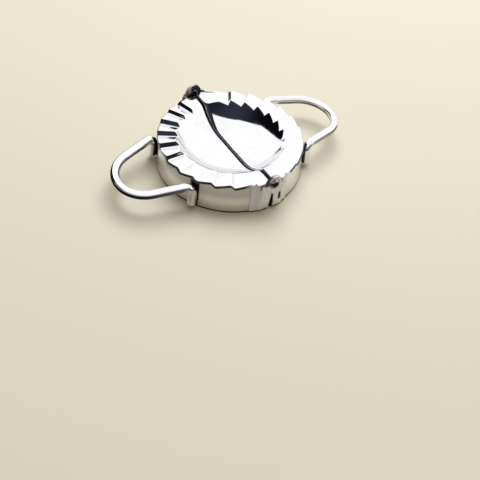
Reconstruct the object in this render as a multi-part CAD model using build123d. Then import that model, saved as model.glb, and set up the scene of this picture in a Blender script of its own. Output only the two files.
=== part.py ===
from build123d import *
import os
from math import acos, asin, atan, cos, degrees, radians, sin, tan

# Folding dumpling press with a round cutter, lying open on its cutting edge.
# Millimetres, +Z up, hinge axis along Y, handles along X, origin on the table
# under the middle of the ring.

# Round cutter and sheet metal
RING_R = 47.2  # outer radius of the cutter band at the cutting edge
RING_TOP_R = 46.1  # and at the height of the plate
BAND_T = 0.7
PAN_T = 0.8
PLATE_Z = 20.6  # upper face of the flange, half way up its flutes
END_LIFT = 0.75  # the flat ends stand this much higher, near the crests
END_Z = PLATE_Z + END_LIFT
HINGE_Z = 21.5  # height of the hinge axis
JOINT_GAP = 1.9  # between the straight edges of the two pans

# Dish
DISH_DEPTH = 9.6
DISH_FLOOR_R = 13.0
DISH_CORNER_R = 28.0
DISH_WALL_DEG = 47.0
DISH_WALL_TOP = PLATE_Z + 4.0  # the wall is drawn past the flange, then trimmed

# Saw-tooth flutes of the flange
FLANGE_R = 46.7
FLUTE_PITCH = 15.0
FLUTE_STEEP = 3.2
FLUTE_HEIGHT = 2.4  # from valley to crest
FLUTE_SIDE = 4  # full teeth each side of the middle one
FLUTE_END = 73.2  # the flat end that a crest runs into starts at this angle
STEP_END = 74.4  # the flat end behind a steep face starts here, on the other side
FLUTE_DRAW_IN = 26.0
FLUTE_DRAW_OUT = 54.0
FLAT_STOP = 94.0
FLANGE_NEAR_EAR = 47.5  # the flat end runs out to here beside its own ear

# Tabs folded down over the ends of the band, and the hinge ears on them
BEND_R = 2.0  # outside of the fold
FLARE = atan((RING_R - RING_TOP_R) / PLATE_Z)  # lean of the band and tabs
EAR_R = 5.5
EAR_FLAT = 6.15  # the ear is flat out to here
EAR_JOG = 10.4  # and has run into the round tab here
EAR_TURN = 0.4  # the outer face turns this much further along than the inner one
TONGUE_FOOT = RING_R + 0.05  # inner face of both tongues at the table
EAR_IN = RING_R + 0.65  # inner face of the inner ear
EAR_OUT = EAR_IN + PAN_T + 0.2  # inner face of the outer ear
EAR_SHOULDER = ((4.3, 22.4), (11.0, 19.6))  # upper edge from the ear down to the tab
TAB_LAP = 2.0  # flat strip of plate behind the fold
SLIT_LOW = 2.0  # from the hinge line to the outer tongue and the band at the table
SLIT_INNER = 1.3  # and to the inner tongue there
SLIT_HIGH = 0.45  # and to all of them at the top of the slit
SLIT_TOP = 12.5  # the outer tongue covers the slit above this
TONGUE_LAP = (-4.8, 18.8)  # where the slanted edge of the outer tongue runs into its ear
NOTCH_X = 3.3  # round notch beside the ear of the other half
NOTCH_Y = 46.9
NOTCH_R = 3.2
CORNER_X = 3.2  # slanted corner beside its own ear
CORNER_Y = 45.5
RELIEF_X = 5.4  # short upright slot in the tab of the outer ear
RELIEF_W = 1.3
RELIEF_LOW = 6.2
RELIEF_HIGH = 13.2
BAND_HINGE_TOP = 15.0  # band height under the ears
BAND_STEP_X = 9.0  # and how far along it stays that low
BAND_END_TOP = END_Z - BEND_R

# Hinge rivets
SHANK_R = 1.7
RUN_FIT = 0.05  # radial, in the ears of the turning half
HEAD_R = 3.5
HEAD_EDGE = 0.35
HEAD_H = 1.9
TAIL_R = 2.5
TAIL_H = 0.9
TAIL_HOLE_R = 0.9
TAIL_HOLE_DEPTH = 1.2
TAIL_ROLL = 0.45  # height of the rolled edge of the tail
RIVET_PLAY = 0.05  # end play at each side of the ears

# Wire handles
WIRE_R = 2.8
WIRE_SINK = 0.25  # depth of the weld seat ground into each leg
LEG_Y = 25.0
LEG_LOW = 3.0
LEG_BEND_R = 5.0
HANDLE_Z = 17.0  # centre line where the arms leave the legs
HANDLE_REACH = 78.7  # centre line at the far end of the loop
HANDLE_DROP = 5.6  # degrees down towards the far end
HANDLE_TAPER = 15.5  # degrees that each arm leans to the middle

TALL = 40.0  # taller than any piece
WIDE = 60.0  # wider than the ring
PAST = 5.0  # how far a cut runs past the metal

OUTER = "outer"
INNER = "inner"


def polar(radius, angle):
    return radius * cos(radians(angle)), radius * sin(radians(angle))


def ring_radius(height):
    """Outer radius of the flared cutter band at a height."""
    return RING_R - height * tan(FLARE)


def flute_knots():
    """Angle and height of every fold of the flange, going round one half."""
    half = FLUTE_STEEP / 2
    high = FLUTE_HEIGHT / 2
    knots = [(-FLAT_STOP, END_LIFT), (-STEP_END, END_LIFT), (FLUTE_STEEP - STEP_END, -high)]
    for tooth in range(-FLUTE_SIDE, FLUTE_SIDE + 1):
        middle = tooth * FLUTE_PITCH
        knots += [(middle - half, high), (middle + half, -high)]
    knots += [(FLUTE_END - half, high), (FLUTE_END, END_LIFT), (FLAT_STOP, END_LIFT)]
    return knots


def fluted_slab(low, high):
    """Slab whose two faces follow the flutes, low and high measured from z = 0."""
    sections = []
    for angle, rise in flute_knots():
        xi, yi = polar(FLUTE_DRAW_IN, angle)
        xo, yo = polar(FLUTE_DRAW_OUT, angle)
        corners = [
            (xi, yi, low + rise),
            (xo, yo, low + rise),
            (xo, yo, high + rise),
            (xi, yi, high + rise),
        ]
        sections.append(Face(Wire.make_polygon(corners, close=True)))
    return loft(sections, ruled=True)


def upright(points, low, high):
    """Upright prism over a plan outline."""
    outline = Face(Wire.make_polygon([(x, y, low) for x, y in points], close=True))
    return extrude(outline, amount=high - low, dir=(0, 0, 1))


def sector(profile, start, stop):
    """Turn a radius and height outline about Z between two angles."""
    face = Face(Wire.make_polygon([(r, 0, z) for r, z in profile], close=True))
    turned = revolve(face, axis=Axis.Z, revolution_arc=stop - start)
    return Rot(0, 0, start) * turned


def dish_wall(shift):
    """Half section of the dish, moved out by shift along its own normal."""
    floor_z = PLATE_Z - DISH_DEPTH - shift
    centre_z = PLATE_Z - DISH_DEPTH + DISH_CORNER_R
    radius = DISH_CORNER_R + shift
    wall = radians(DISH_WALL_DEG)
    half = wall / 2
    middle = (DISH_FLOOR_R + radius * sin(half), 0, centre_z - radius * cos(half))
    end = (DISH_FLOOR_R + radius * sin(wall), 0, centre_z - radius * cos(wall))
    top = (end[0] + (DISH_WALL_TOP - end[2]) / tan(wall), 0, DISH_WALL_TOP)
    start = (DISH_FLOOR_R, 0, floor_z)
    axis_point = (0, 0, floor_z)
    edges = [Line(axis_point, start), ThreePointArc(start, middle, end), Line(end, top)]
    return edges, axis_point, top


def dish_sheet():
    upper, upper_axis, upper_top = dish_wall(0.0)
    lower, lower_axis, lower_top = dish_wall(PAN_T)
    ring = upper + lower + [Line(upper_axis, lower_axis), Line(upper_top, lower_top)]
    return revolve(make_face(ring), axis=Axis.Z, revolution_arc=360)


def dish_hollow():
    upper, upper_axis, upper_top = dish_wall(0.0)
    lid = (0, 0, DISH_WALL_TOP)
    ring = upper + [Line(upper_axis, lid), Line(lid, upper_top)]
    return revolve(make_face(ring), axis=Axis.Z, revolution_arc=360)


def fold_start():
    """Radius where the flat end of the flange starts to fold down."""
    fold_z = END_Z - BEND_R + BEND_R * sin(FLARE)
    return ring_radius(fold_z) + PAN_T / cos(FLARE) - BEND_R * cos(FLARE)


def folded_tab(start, stop):
    """Flat end of the flange turned down into a round tab, between two angles."""
    hub_r = fold_start()
    hub_z = END_Z - BEND_R
    plate_r = hub_r - TAB_LAP
    middle = (radians(90) + FLARE) / 2

    def rim(radius, angle):
        return (hub_r + radius * cos(angle), 0, hub_z + radius * sin(angle))

    inner = BEND_R - PAN_T
    foot_out = (RING_R + PAN_T / cos(FLARE), 0, 0)
    foot_in = (RING_R, 0, 0)
    plate_top = (plate_r, 0, END_Z)
    plate_low = (plate_r, 0, END_Z - PAN_T)
    edges = [
        Line(plate_top, rim(BEND_R, radians(90))),
        ThreePointArc(rim(BEND_R, radians(90)), rim(BEND_R, middle), rim(BEND_R, FLARE)),
        Line(rim(BEND_R, FLARE), foot_out),
        Line(foot_out, foot_in),
        Line(foot_in, rim(inner, FLARE)),
        ThreePointArc(rim(inner, FLARE), rim(inner, middle), rim(inner, radians(90))),
        Line(rim(inner, radians(90)), plate_low),
        Line(plate_low, plate_top),
    ]
    turned = revolve(make_face(edges), axis=Axis.Z, revolution_arc=stop - start)
    return Rot(0, 0, start) * turned


def jog_angle():
    return degrees(acos(EAR_JOG / RING_R))


def ear_outline(end, layer, height):
    """Plan of the tongue and ear sheet at a height, from the round tab to the tip."""
    face_y = EAR_OUT if layer == OUTER else EAR_IN
    if height == 0:
        face_y = TONGUE_FOOT
    xi, yi = polar(ring_radius(height), jog_angle())
    xo, yo = polar(ring_radius(height) + PAN_T / cos(FLARE), jog_angle())
    tip = -EAR_R - PAST
    plan = [
        (xi, yi),
        (xo, yo),
        (EAR_FLAT + EAR_TURN, face_y + PAN_T),
        (tip, face_y + PAN_T),
        (tip, face_y),
        (EAR_FLAT, face_y),
    ]
    return Face(Wire.make_polygon([(x, end * y, height) for x, y in plan], close=True))


def hinge_ear(end, layer, hole_r):
    """Tongue and ear at one end of a half; end is +1 at the rear, -1 at the front."""
    plans = [ear_outline(end, layer, height) for height in (0, SLIT_TOP, TALL)]
    sheet = loft(plans, ruled=True)
    if layer == OUTER:
        slit_edge = [
            (SLIT_LOW, 0),
            (SLIT_HIGH, SLIT_TOP),
            TONGUE_LAP,
            (TONGUE_LAP[0], HINGE_Z),
        ]
    else:
        slit_edge = [(SLIT_INNER, 0), (SLIT_HIGH, SLIT_TOP), (SLIT_HIGH, HINGE_Z)]
    side = [*slit_edge, *EAR_SHOULDER, (EAR_SHOULDER[1][0], 0)]
    tongue = Face(Wire.make_polygon([(x, -WIDE, z) for x, z in side], close=True))
    keep = extrude(tongue, amount=2 * WIDE, dir=(0, 1, 0))
    keep += Pos(0, 0, HINGE_Z) * Rot(90, 0, 0) * Cylinder(EAR_R, 2 * WIDE)
    ear = sheet & keep
    ear -= Pos(0, 0, HINGE_Z) * Rot(90, 0, 0) * Cylinder(hole_r, 2 * WIDE)
    if layer == OUTER:
        height = RELIEF_HIGH - RELIEF_LOW
        slot = Box(RELIEF_W, PAST, height)
        ear -= Pos(RELIEF_X, end * (EAR_OUT + PAN_T / 2), RELIEF_LOW + height / 2) * slot
    return ear


def right_pan(hole_r):
    """Pan of the right half: dish, fluted flange, folded tabs and hinge ears."""
    flange = fluted_slab(PLATE_Z - PAN_T, PLATE_Z)
    flange &= Cylinder(FLANGE_R, 2 * TALL)
    rim = [
        (fold_start(), PLATE_Z - PAST),
        (WIDE, PLATE_Z - PAST),
        (WIDE, PLATE_Z + PAST),
        (fold_start(), PLATE_Z + PAST),
    ]
    for start, stop in ((FLUTE_END, jog_angle()), (-jog_angle(), -STEP_END)):
        flange -= sector(rim, start, stop)
    flange -= dish_hollow()
    dish = dish_sheet() - fluted_slab(PLATE_Z, PLATE_Z + TALL)
    pan = flange + dish
    edge_x = JOINT_GAP / 2
    other_half = [(-WIDE, -WIDE), (edge_x, -WIDE), (edge_x, WIDE), (-WIDE, WIDE)]
    pan -= upright(other_half, 0, TALL)
    beside_ear = [
        (edge_x, CORNER_Y - PAST),
        (edge_x, CORNER_Y),
        (CORNER_X, FLANGE_NEAR_EAR),
        (EAR_FLAT, FLANGE_NEAR_EAR),
        polar(FLANGE_R, jog_angle()),
        polar(FLANGE_R - PAST, jog_angle()),
    ]
    corner = [(edge_x, CORNER_Y), (edge_x, WIDE), (WIDE, WIDE), (CORNER_X, FLANGE_NEAR_EAR)]
    pan -= upright(corner, 0, TALL)
    pan += upright(beside_ear, END_Z - PAN_T, END_Z)
    pan -= Pos(NOTCH_X, -NOTCH_Y, END_Z) * Cylinder(NOTCH_R, PAST)
    pan += folded_tab(FLUTE_END, jog_angle())
    pan += folded_tab(-jog_angle(), -STEP_END)
    pan += hinge_ear(1, INNER, hole_r)
    pan += hinge_ear(-1, OUTER, hole_r)
    return pan


def right_band():
    """Cutter band of the right half, trimmed to the flutes along its top."""
    thick = BAND_T / cos(FLARE)
    strip = [
        (RING_R - thick, 0),
        (RING_R, 0),
        (ring_radius(TALL), TALL),
        (ring_radius(TALL) - thick, TALL),
    ]
    band = sector(strip, -90, 90)
    band -= fluted_slab(PLATE_Z - PAN_T, PLATE_Z + TALL)
    end_rim = [
        (RING_R - PAST, BAND_END_TOP),
        (RING_R + PAST, BAND_END_TOP),
        (RING_R + PAST, TALL),
        (RING_R - PAST, TALL),
    ]
    for start, stop in ((FLUTE_END, FLAT_STOP), (-FLAT_STOP, -STEP_END)):
        band -= sector(end_rim, start, stop)
    hinge_side = [(-PAST, -WIDE), (BAND_STEP_X, -WIDE), (BAND_STEP_X, WIDE), (-PAST, WIDE)]
    band -= upright(hinge_side, BAND_HINGE_TOP, TALL)
    slit = [
        (-PAST, -PAST),
        (SLIT_LOW, -PAST),
        (SLIT_LOW, 0),
        (SLIT_HIGH, SLIT_TOP),
        (SLIT_HIGH, TALL),
        (-PAST, TALL),
    ]
    wedge = Face(Wire.make_polygon([(x, -WIDE, z) for x, z in slit], close=True))
    band -= extrude(wedge, amount=2 * WIDE, dir=(0, 1, 0))
    return band


def right_wire():
    """Wire handle of the right half: two legs on the band and a drooping loop."""
    stand_off = (WIRE_R - WIRE_SINK) / cos(FLARE)
    top_r = ring_radius(HANDLE_Z) + stand_off
    foot_r = ring_radius(LEG_LOW) + stand_off
    leg_x = (top_r**2 - LEG_Y**2) ** 0.5
    along = Vector(cos(radians(HANDLE_DROP)), 0, -sin(radians(HANDLE_DROP)))
    across = Vector(0, 1, 0)
    lean = radians(HANDLE_TAPER)
    reach = (HANDLE_REACH - leg_x) / cos(radians(HANDLE_DROP))
    loop_r = (LEG_Y * cos(lean) - reach * sin(lean)) / (1 - sin(lean))
    centre = Vector(leg_x, 0, HANDLE_Z) + along * (reach - loop_r)

    path = []
    for side in (-1, 1):
        corner = Vector(leg_x, side * LEG_Y, HANDLE_Z)
        scale = foot_r / top_r
        foot = Vector(leg_x * scale, side * LEG_Y * scale, LEG_LOW)
        upward = (corner - foot).normalized()
        arm = along * cos(lean) - across * (side * sin(lean))
        turn = radians(upward.get_angle(arm))
        run = LEG_BEND_R * tan(turn / 2)
        low = corner - upward * run
        high = corner + arm * run
        inward = (arm - upward).normalized()
        hub = corner + inward * (LEG_BEND_R / cos(turn / 2))
        middle = hub - inward * LEG_BEND_R
        meet = centre + along * (loop_r * sin(lean)) + across * (side * loop_r * cos(lean))
        path.append((foot, low, middle, high, meet))
    near, far = path
    tip = centre + along * loop_r
    edges = [
        Line(near[0], near[1]),
        ThreePointArc(near[1], near[2], near[3]),
        Line(near[3], near[4]),
        ThreePointArc(near[4], tip, far[4]),
        Line(far[4], far[3]),
        ThreePointArc(far[3], far[2], far[1]),
        Line(far[1], far[0]),
    ]
    section = Plane(origin=near[0], z_dir=near[1] - near[0]) * Circle(WIRE_R)
    wire = sweep(section, path=Wire(edges))
    drum = [(0, -PAST), (ring_radius(-PAST), -PAST), (ring_radius(TALL), TALL), (0, TALL)]
    return wire - sector(drum, 0, 360)


def rear_rivet():
    """Hinge rivet with a domed outer head and a rolled inner tail, axis along +Y."""
    tail_y = EAR_IN - RIVET_PLAY
    head_y = EAR_OUT + PAN_T + RIVET_PLAY
    tail_end = tail_y - TAIL_H
    hole_y = tail_end + TAIL_HOLE_DEPTH
    crown = (TAIL_HOLE_R + TAIL_R) / 2
    lip_y = tail_end + TAIL_ROLL
    dome_h = HEAD_H - HEAD_EDGE
    dome_r = (HEAD_R**2 + dome_h**2) / (2 * dome_h)
    half = asin(HEAD_R / dome_r) / 2
    dome_x = dome_r * sin(half)
    dome_y = head_y + HEAD_H - dome_r * (1 - cos(half))
    edges = [
        Line((0, hole_y), (TAIL_HOLE_R, hole_y)),
        Line((TAIL_HOLE_R, hole_y), (TAIL_HOLE_R, lip_y)),
        ThreePointArc((TAIL_HOLE_R, lip_y), (crown, tail_end), (TAIL_R, lip_y)),
        Line((TAIL_R, lip_y), (TAIL_R, tail_y)),
        Line((TAIL_R, tail_y), (SHANK_R, tail_y)),
        Line((SHANK_R, tail_y), (SHANK_R, head_y)),
        Line((SHANK_R, head_y), (HEAD_R, head_y)),
        Line((HEAD_R, head_y), (HEAD_R, head_y + HEAD_EDGE)),
        ThreePointArc(
            (HEAD_R, head_y + HEAD_EDGE), (dome_x, dome_y), (0, head_y + HEAD_H)
        ),
        Line((0, head_y + HEAD_H), (0, hole_y)),
    ]
    rivet = revolve(make_face(edges), axis=Axis.Y, revolution_arc=360)
    return Pos(0, 0, HINGE_Z) * rivet


def save(name, shape):
    solid = shape.solid()
    solid.label = name
    export_step(solid, f"parts/{name}.step")


os.makedirs("parts", exist_ok=True)

# The rivets are tight in the right half, and the left half turns on them.
HALF_TURN = Rot(0, 0, 180)
save("right_press_pan", right_pan(SHANK_R))
save("left_press_pan", HALF_TURN * right_pan(SHANK_R + RUN_FIT))
save("right_cutter_band", right_band())
save("left_cutter_band", HALF_TURN * right_band())
save("right_handle", right_wire())
save("left_handle", HALF_TURN * right_wire())
save("rear_hinge_rivet", rear_rivet())
save("front_hinge_rivet", HALF_TURN * rear_rivet())
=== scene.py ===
from functools import cached_property, partialmethod
from math import acos, asin, atan, atan2, cos, degrees, hypot, pi, radians, sin, tan

import bmesh
import bpy
from mathutils import Matrix, Vector


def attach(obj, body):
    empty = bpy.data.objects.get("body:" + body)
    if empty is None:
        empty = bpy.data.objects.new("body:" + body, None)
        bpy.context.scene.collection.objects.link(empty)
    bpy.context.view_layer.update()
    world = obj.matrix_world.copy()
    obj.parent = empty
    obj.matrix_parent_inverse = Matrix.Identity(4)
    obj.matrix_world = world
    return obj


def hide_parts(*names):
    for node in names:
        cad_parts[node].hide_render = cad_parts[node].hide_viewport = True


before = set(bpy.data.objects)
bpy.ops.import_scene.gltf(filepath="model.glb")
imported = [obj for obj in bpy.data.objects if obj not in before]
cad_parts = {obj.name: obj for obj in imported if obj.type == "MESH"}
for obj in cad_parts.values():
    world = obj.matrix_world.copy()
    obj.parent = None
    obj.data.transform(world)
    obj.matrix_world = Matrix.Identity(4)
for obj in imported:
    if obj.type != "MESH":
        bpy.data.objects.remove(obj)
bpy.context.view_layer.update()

MM = 0.001

# Sizes in millimetres and degrees, as in the solids

RING_R = 47.2
RING_TOP_R = 46.1
BAND_T = 0.7
PAN_T = 0.8
PLATE_Z = 20.6
END_LIFT = 0.75
END_Z = PLATE_Z + END_LIFT
HINGE_Z = 21.5
JOINT_GAP = 1.9
FLARE = atan((RING_R - RING_TOP_R) / PLATE_Z)

DISH_DEPTH = 9.6
DISH_FLOOR_R = 13.0
DISH_CORNER_R = 28.0
DISH_WALL_DEG = 47.0

FLANGE_R = 46.7
FLANGE_NEAR_EAR = 47.5
FLUTE_PITCH = 15.0
FLUTE_STEEP = 3.2
FLUTE_HEIGHT = 2.4
FLUTE_LAST = 60.0
FLUTE_END = 73.2
STEP_END = 74.4

BEND_R = 2.0
EAR_R = 5.5
EAR_JOG = 10.4
TONGUE_FOOT = RING_R + 0.05
EAR_IN = RING_R + 0.65
EAR_OUT = EAR_IN + PAN_T + 0.2
EAR_SHOULDER = ((4.3, 22.4), (11.0, 19.6))
SLIT_LOW = 2.0
SLIT_HIGH = 0.45
SLIT_TOP = 12.5
TONGUE_LAP = (-4.8, 18.8)
NOTCH = (3.3, 46.9, 3.2)
CORNER = (3.2, 45.5)
BAND_HINGE_TOP = 15.0
BAND_STEP_X = 9.0
BAND_END_TOP = END_Z - BEND_R

SHANK_R = 1.7
RUN_FIT = 0.05
HEAD_R = 3.5
HEAD_EDGE = 0.35
HEAD_H = 1.9
TAIL_R = 2.5
TAIL_H = 0.9
TAIL_HOLE_R = 0.9
TAIL_HOLE_DEPTH = 1.2
TAIL_ROLL = 0.45
RIVET_PLAY = 0.05

WIRE_R = 2.8
WIRE_SINK = 0.25
LEG_Y = 25.0
LEG_LOW = 3.0
LEG_BEND_R = 5.0
HANDLE_Z = 17.0
HANDLE_REACH = 78.7
HANDLE_DROP = 5.6
HANDLE_TAPER = 15.5

# Finer forms, which the solids leave out or draw a little differently

RIM_ROLL = 1.3
END_EASE = 1.6
END_BLEND = 0.35
FLUTE_EXTRA = 0.1
STEEPER = 0.7
DISH_WALL = (29.5, 37.5)
DISH_TO_FLANGE = (31.0, 37.0)
ROLL_FADE = (34.0, 38.5)
END_ROLL_RISE = (12.0, 30.0)
CURL_SLACK = 1.06
WAVE_SCALE = 0.05
PLATE_GROW = 0.25
JOG_GROW = 0.4
NOTCH_SHY = 0.1

EAR_FLAT = 6.8
SLIT_INNER = 1.7
RELIEF = (5.2, 1.8, 6.2, 13.2)
RELIEF_LEAN = -0.1
EAR_INSET = 0.18
EAR_JOIN = 0.997
JOG_SHY = 0.42

PAN_EDGE = 0.34
BAND_EDGE = 0.25
WIRE_EDGE = 0.35

TAIL_HOLLOW = ((0.0, 0.15), (0.45, 0.1), (TAIL_HOLE_R - 0.1, 0.25))
TAIL_CHIP = 0.08
HEAD_CHIP = 0.1

# Divisions of the sheets, the wire and the rivets, and how near points are welded

PER_TOOTH = 40
FLUTED_COLUMNS = 180
TAB_COLUMN, STEP_COLUMN, JOG_COLUMN = 16, 21, 27
END_STOPS = (
    (6, 70.8),
    (TAB_COLUMN, 73.4),
    (STEP_COLUMN, STEP_END + 0.2),
    (JOG_COLUMN, degrees(acos(EAR_JOG / RING_R))),
)
END_COLUMNS = 48
TAB_FIRST = FLUTED_COLUMNS + TAB_COLUMN
STEP_FIRST = FLUTED_COLUMNS + STEP_COLUMN
TAB_LAST = FLUTED_COLUMNS + JOG_COLUMN
HALF_COLUMNS = FLUTED_COLUMNS + END_COLUMNS
COLUMN_CROWD = 0.42
FAN_ROW, FLOOR_ROW, WALL_ROW, RIM_ROW = 6, 24, 56, 66
ROLL_ROWS = 8
PAN_ROWS = RIM_ROW + ROLL_ROWS
BAND_ROWS = 12
FOLD_STEPS, TAB_STEPS, JOG_STEPS = 12, 6, 6
SLIT_STEPS, EAR_STEPS, HOLE_STEPS, SLOT_STEPS = 12, 84, 40, 8
LEG_STEPS, BEND_STEPS, ARM_STEPS, LOOP_STEPS = 8, 24, 16, 80
WIRE_SIDES = 40
ROLL_STEPS, DOME_STEPS = 16, 24
RIVET_SIDES = 64
EDGE_STEPS = 3
EDGE_DEG, RIVET_EDGE_DEG = 50, 45
WELD_NEAR, SLIVER = 0.004, 0.001

# Colours

WHITE = (1.0, 1.0, 1.0, 1.0)
BLACK = (0.0, 0.0, 0.0, 1.0)
# Colours of the painted shade, painted highlights and painted reflections that the marks lay on
DARK_PAINTED_SHADE = (0.02, 0.02, 0.025, 1.0)
BAND_PAINTED_SHADE = (0.02, 0.02, 0.022, 1.0)
BROWN_PAINTED_SHADE = (0.05, 0.042, 0.036, 1.0)
WELD_PAINTED_SHADE = (0.07, 0.06, 0.05, 1.0)
EAR_SHADE = (0.06, 0.06, 0.065, 1.0)
EAR_PAINTED_HIGHLIGHT = (0.80, 0.77, 0.68, 1.0)
FOLD_PAINTED_SHADE = (0.12, 0.12, 0.13, 1.0)
SHELF_PAINTED_SHADE = (0.6, 0.6, 0.6, 1.0)
LIP_PAINTED_SHADE = (0.085, 0.085, 0.1, 1.0)
JOINT_PAINTED_SHADE = (0.45, 0.45, 0.53, 1.0)
CORE_PAINTED_REFLECTION = (0.05, 0.05, 0.06, 1.0)
FLANK_PAINTED_SHADE = (0.13, 0.13, 0.14, 1.0)
FLOOR_CREAM = (0.80, 0.795, 0.68, 1.0)
CARD_BLACK = (0.012, 0.012, 0.014, 1.0)
ROOM_MIDDLE = (0.029, 0.031, 0.049, 1.0)
ROOM_RIGHT = (0.012, 0.0145, 0.0235, 1.0)
ROOM_LEFT = (0.003, 0.003, 0.0045, 1.0)
FILL_LIGHT = (0.62, 0.51, 0.40, 1.0)


def both_ways(operation):
    """An operator and its reflected form, each adding one Math node."""
    return (
        lambda self, other: self.graph.math(operation, self, other),
        lambda self, other: self.graph.math(operation, other, self),
    )


class Num:
    """A number inside a node tree; arithmetic on it adds Math nodes."""

    def __init__(self, graph, socket):
        self.graph = graph
        self.socket = socket

    def __abs__(self):
        return self.graph.math("ABSOLUTE", self)

    __add__, __radd__ = both_ways("ADD")
    __sub__, __rsub__ = both_ways("SUBTRACT")
    __mul__, __rmul__ = both_ways("MULTIPLY")
    __truediv__, __rtruediv__ = both_ways("DIVIDE")
    __pow__, __rpow__ = both_ways("POWER")
    __lt__, __gt__ = both_ways("LESS_THAN")[0], both_ways("GREATER_THAN")[0]


class Graph:
    """Adds nodes to one shader or geometry tree."""

    def __init__(self, tree):
        self.tree = tree

    def add(self, kind, settings=None, sockets=None):
        node = self.tree.nodes.new(kind)
        for name, value in (settings or {}).items():
            setattr(node, name, value)
        for name, value in (sockets or {}).items():
            self.feed(node.inputs[name], value)
        return node

    def feed(self, socket, value):
        """Sets or links a socket; a node stands for its first output."""
        if isinstance(value, Num):
            value = value.socket
        if isinstance(value, bpy.types.Node):
            value = value.outputs[0]
        if isinstance(value, bpy.types.NodeSocket):
            self.tree.links.new(value, socket)
        else:
            socket.default_value = value

    def math(self, operation, *values):
        sockets = dict(enumerate(values))
        return self.num(self.add("ShaderNodeMath", {"operation": operation}, sockets))

    low, high = partialmethod(math, "MINIMUM"), partialmethod(math, "MAXIMUM")
    soft_low, soft_high = partialmethod(math, "SMOOTH_MIN"), partialmethod(math, "SMOOTH_MAX")
    root, sign = partialmethod(math, "SQRT"), partialmethod(math, "SIGN")
    rounded = partialmethod(math, "ROUND")

    def num(self, node, output=0):
        return Num(self, node.outputs[output])

    def vector(self, x, y, z):
        return self.add("ShaderNodeCombineXYZ", {}, {0: x, 1: y, 2: z})

    def axes(self, vector):
        node = self.add("ShaderNodeSeparateXYZ", {}, {0: vector})
        return [self.num(node, i) for i in range(3)]

    def stretched(self, vector, scale):
        return self.add("ShaderNodeMapping", {}, {"Vector": vector, "Scale": scale})

    def noise(self, vector, scale, **more):
        sockets = {"Vector": vector, "Scale": scale, **more}
        return self.num(self.add("ShaderNodeTexNoise", {}, sockets))

    def length(self, a, b):
        return self.root(a * a + b * b)

    def span(self, value, start, stop):
        """0 before start, 1 after stop, straight between."""
        return self.low(self.high((value - start) / (stop - start), 0.0), 1.0)

    def ease(self, value, start, stop):
        """0 before start, 1 after stop, smooth between."""
        t = self.span(value, start, stop)
        return t * t * (3.0 - 2.0 * t)

    def fade(self, value, start, stop):
        """1 before start, 0 after stop, smooth between."""
        return 1.0 - self.ease(value, start, stop)

    def pick(self, test, yes, no):
        return no + (yes - no) * test

    def blend(self, factor, a, b):
        """Colour between a and b."""
        sockets = {"Factor": factor, "A": a, "B": b}
        return self.add("ShaderNodeMix", {"data_type": "RGBA"}, sockets).outputs[2]

    def cos_deg(self, angle):
        return self.math("COSINE", angle * radians(1))

    def sin_deg(self, angle):
        return self.math("SINE", angle * radians(1))


def polar(radius, angle):
    return radius * cos(radians(angle)), radius * sin(radians(angle))


def ring_radius(height):
    """Outer radius of the flared cutter band at a height."""
    return RING_R - height * tan(FLARE)


def fold_start():
    """Radius where the flat end of the flange starts to fold down."""
    fold_z = END_Z - BEND_R + BEND_R * sin(FLARE)
    return ring_radius(fold_z) + PAN_T / cos(FLARE) - BEND_R * cos(FLARE)


def new_object(name, data):
    made = bpy.data.objects.new(name, data)
    bpy.context.scene.collection.objects.link(made)
    return made


def plain_mesh(source, name):
    """The evaluated object as a plain mesh; the source object is removed."""
    bpy.context.view_layer.update()
    graph = bpy.context.evaluated_depsgraph_get()
    mesh = bpy.data.meshes.new_from_object(source.evaluated_get(graph))
    mesh.name = name
    bpy.data.objects.remove(source)
    return mesh


def soften_edges(maker, width):
    """Rounds the sharp edges of an object that is about to become a plain mesh."""
    soften = maker.modifiers.new("soft edges", "BEVEL")
    soften.width = width * MM
    soften.segments = EDGE_STEPS
    soften.limit_method = "ANGLE"
    soften.angle_limit = radians(EDGE_DEG)
    soften.harden_normals = True
    soften.use_clamp_overlap = True


def node_modifier(owner, tree, values):
    """Adds a geometry tree to an object and sets its named inputs."""
    modifier = owner.modifiers.new(tree.name, "NODES")
    modifier.node_group = tree
    for item in tree.interface.items_tree:
        if item.name in values:
            modifier[item.identifier] = values[item.name]


def new_tree(name, inputs):
    """Graph of a new geometry tree and its named inputs, shapes where no number is given."""
    tree = bpy.data.node_groups.new(name, "GeometryNodeTree")
    tree.is_modifier = True
    tree.interface.new_socket("Geometry", in_out="OUTPUT", socket_type="NodeSocketGeometry")
    for label, value in inputs.items():
        kind = "NodeSocketGeometry" if value is None else "NodeSocketFloat"
        socket = tree.interface.new_socket(label, in_out="INPUT", socket_type=kind)
        if value is not None:
            socket.default_value = value
    graph = Graph(tree)
    source = graph.add("NodeGroupInput")
    return graph, {label: graph.num(source, label) for label in inputs}


def finish_tree(g, geometry, material):
    smooth = g.add("GeometryNodeSetShadeSmooth", {}, {"Geometry": geometry})
    sockets = {"Geometry": smooth, "Material": material}
    paint = g.add("GeometryNodeSetMaterial", {}, sockets)
    g.add("NodeGroupOutput", {}, {0: paint})
    return g.tree


def grid_lines(g, rows):
    """Grid of one half, with the side of the middle, column and row of each point as fields."""
    columns = 2 * HALF_COLUMNS
    sockets = {"Size X": 1.0, "Size Y": 1.0, "Vertices X": columns + 1, "Vertices Y": rows + 1}
    grid = g.add("GeometryNodeMeshGrid", {}, sockets)
    x, y, z = g.axes(g.add("GeometryNodeInputPosition"))
    column = g.rounded((0.5 - x) * columns) - HALF_COLUMNS
    return grid, g.sign(column), abs(column), g.rounded((y + 0.5) * rows)


def placed(g, grid, x, y, z):
    """Grid with its points moved to places in millimetres."""
    sockets = {"Geometry": grid, "Position": g.vector(x * MM, y * MM, z * MM)}
    return g.add("GeometryNodeSetPosition", {}, sockets)


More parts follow.
